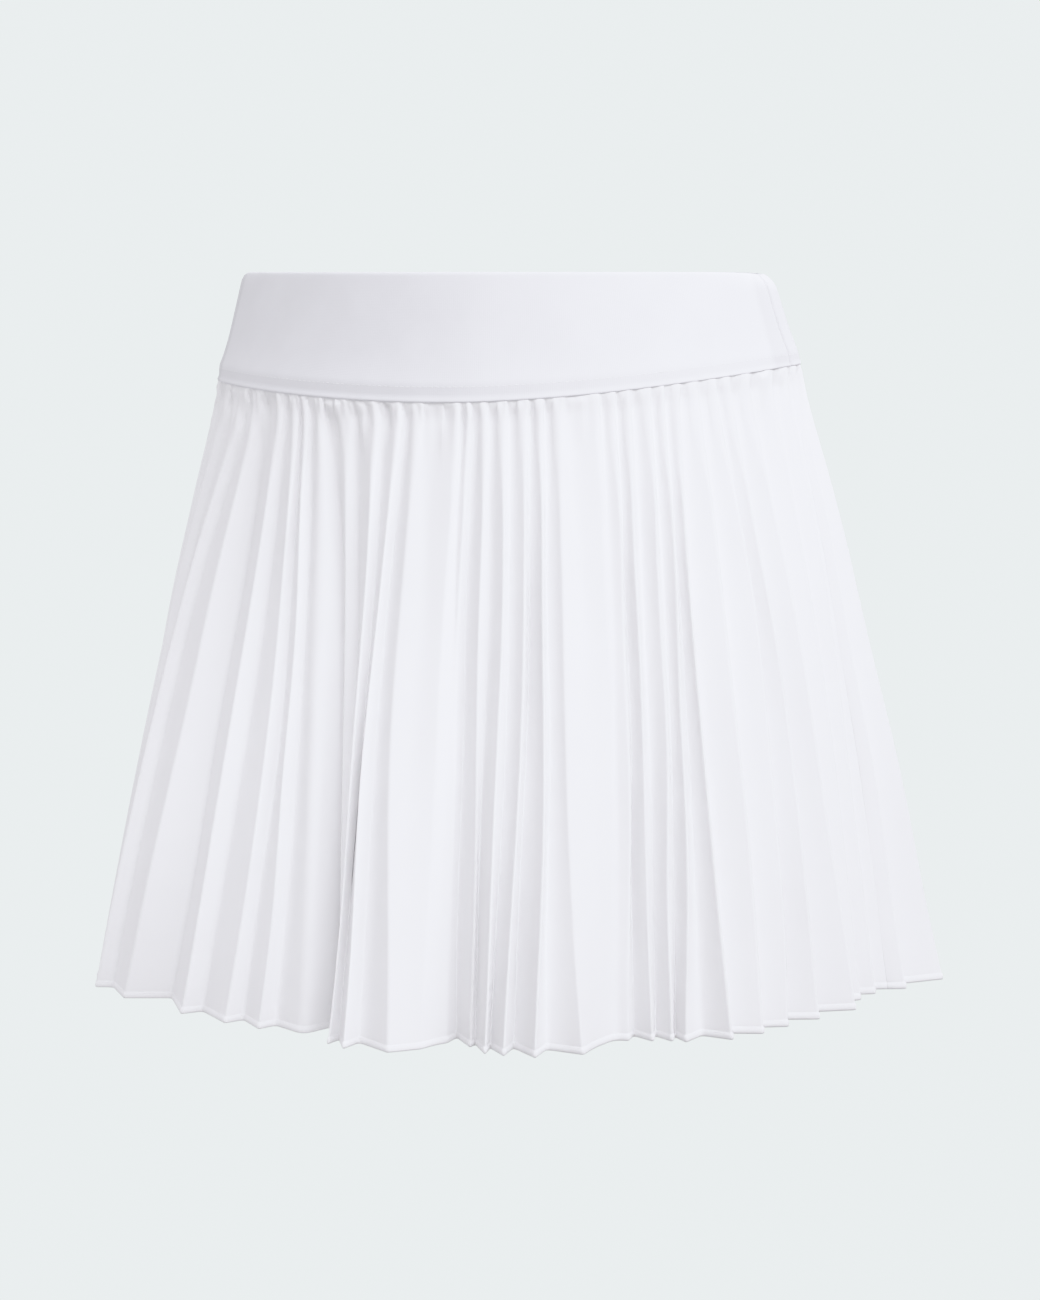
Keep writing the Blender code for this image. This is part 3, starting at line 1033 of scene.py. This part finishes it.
def add_light(name, lamp, power):
    """Adds a soft light that the camera doesn't see."""
    data = bpy.data.lights.new(name, "AREA")
    data.shape = lamp.shape
    data.size = lamp.size
    data.spread = lamp.spread
    data.energy = power
    light = put_in_scene(name, data)
    light.location = lamp.place
    light.rotation_euler = (Vector(lamp.target) - Vector(lamp.place)).to_track_quat("-Z", "Y").to_euler()
    light.visible_camera = False


FILM_GAIN = 1.4
SHADE_TINT = (0.964, 0.957, 0.997)
BRIGHT_TINT = (0.952, 0.960, 1.0)
TINT_TURNS = (0.70, 1.00)  # tones between which the one tint turns into the other
# Tones before and after the bright ones are held back.
HIGHLIGHTS = ((0.35, 0.36), (0.70, 0.715), (0.85, 0.845), (1.00, 0.916), (1.20, 0.958), (1.40, 0.972))


def soften_highlights(view):
    """Brightens the picture, holds its highlights back and tints it, by the view's curves."""
    view.exposure = math.log2(FILM_GAIN)
    view.use_curve_mapping = True
    for channel, (shade, bright) in enumerate(zip(SHADE_TINT, BRIGHT_TINT)):
        curve = view.curve_mapping.curves[channel]
        tones = []
        for light, shown in HIGHLIGHTS:
            tint = mix(shade, bright, float(smooth(*TINT_TURNS, light)))
            tones.append((light / FILM_GAIN, shown / FILM_GAIN * tint))
        curve.points[-1].location = tones[-1]
        for light, shown in tones[:-1]:
            curve.points.new(light, shown)
    view.curve_mapping.update()


BELOW_LIGHT = 0.65
ABOVE_LIGHT = 1.35


def ambient_light(strength):
    """Even light that is stronger from above than from below."""
    world = bpy.data.worlds.new("even_light")
    world.use_nodes = True
    tree = world.node_tree
    background = tree.nodes["Background"]
    background.inputs["Strength"].default_value = strength
    place = add_node(tree, "ShaderNodeTexCoord").outputs["Generated"]
    height = add_node(tree, "ShaderNodeSeparateXYZ", {"Vector": place}).outputs["Z"]
    level = add_node(
        tree,
        "ShaderNodeMapRange",
        {"Value": height, "From Min": -1.0, "From Max": 1.0, "To Min": BELOW_LIGHT, "To Max": ABOVE_LIGHT},
    )
    tree.links.new(level.outputs["Result"], background.inputs["Color"])
    bpy.context.scene.world = world


# The camera stands level with the waist, turned this far round towards +X, and looks down a little.
CAMERA_DISTANCE = 1.6
CAMERA_TURN = math.radians(10.0)
FOCAL_PIXELS = 3579.3  # focal length over the picture's 1300 pixels
ORIGIN_AT = (506.0, 272.0)  # where the waist's centre falls in the picture
PICTURE = (1040.0, 1300.0)
SENSOR = 36.0  # millimetres over the same 1300 pixels
FARTHEST = 50.0
UPWARDS = Vector((0, 0, 1))


def place_camera():
    data = bpy.data.cameras.new("camera")
    data.sensor_width = SENSOR
    data.lens = SENSOR * FOCAL_PIXELS / PICTURE[1]
    data.clip_end = FARTHEST
    camera = put_in_scene("camera", data)
    place = Vector((math.sin(CAMERA_TURN), -math.cos(CAMERA_TURN), 0.0)) * CAMERA_DISTANCE
    pitch = math.atan((PICTURE[1] / 2 - ORIGIN_AT[1]) / FOCAL_PIXELS)
    yaw = math.atan((PICTURE[0] / 2 - ORIGIN_AT[0]) / FOCAL_PIXELS)
    level = -place.normalized()
    level = level * math.cos(yaw) + level.cross(UPWARDS) * math.sin(yaw)
    right = level.cross(UPWARDS).normalized()
    ahead = level * math.cos(pitch) - UPWARDS * math.sin(pitch)
    above = right.cross(ahead)
    camera.matrix_world = Matrix.Translation(place) @ Matrix((right, above, -ahead)).transposed().to_4x4()
    bpy.context.scene.camera = camera


class SKIRT_PT_build(bpy.types.Panel):
    """Lists the skirt's pieces and their settings"""

    bl_idname = "SKIRT_PT_build"
    bl_label = "Pleated Skirt"
    bl_space_type = "VIEW_3D"
    bl_region_type = "UI"
    bl_category = "Skirt"

    def draw(self, context):
        layout = self.layout
        scene = context.scene
        for group in (scene.skirt_sizes, scene.skirt_colours, scene.skirt_studio):
            box = layout.box()
            for name in group.bl_rna.properties.keys():
                if name not in ("rna_type", "name"):
                    box.prop(group, name)
        for operator in OPERATORS:
            layout.operator(operator.bl_idname)


GROUPS = {"skirt_sizes": SkirtSizes, "skirt_colours": SkirtColours, "skirt_studio": SkirtStudio}
OPERATORS = (SKIRT_OT_band, SKIRT_OT_panels, SKIRT_OT_stage)
CLASSES = (*GROUPS.values(), *OPERATORS, SKIRT_PT_build)


def register():
    for item in CLASSES:
        bpy.utils.register_class(item)
    for name, group in GROUPS.items():
        setattr(bpy.types.Scene, name, PointerProperty(type=group))


def unregister():
    for name in GROUPS:
        delattr(bpy.types.Scene, name)
    for item in reversed(CLASSES):
        bpy.utils.unregister_class(item)


def main():
    register()
    bpy.ops.skirt.band()
    bpy.ops.skirt.panels()
    bpy.ops.skirt.stage()


if __name__ == "__main__":
    main()
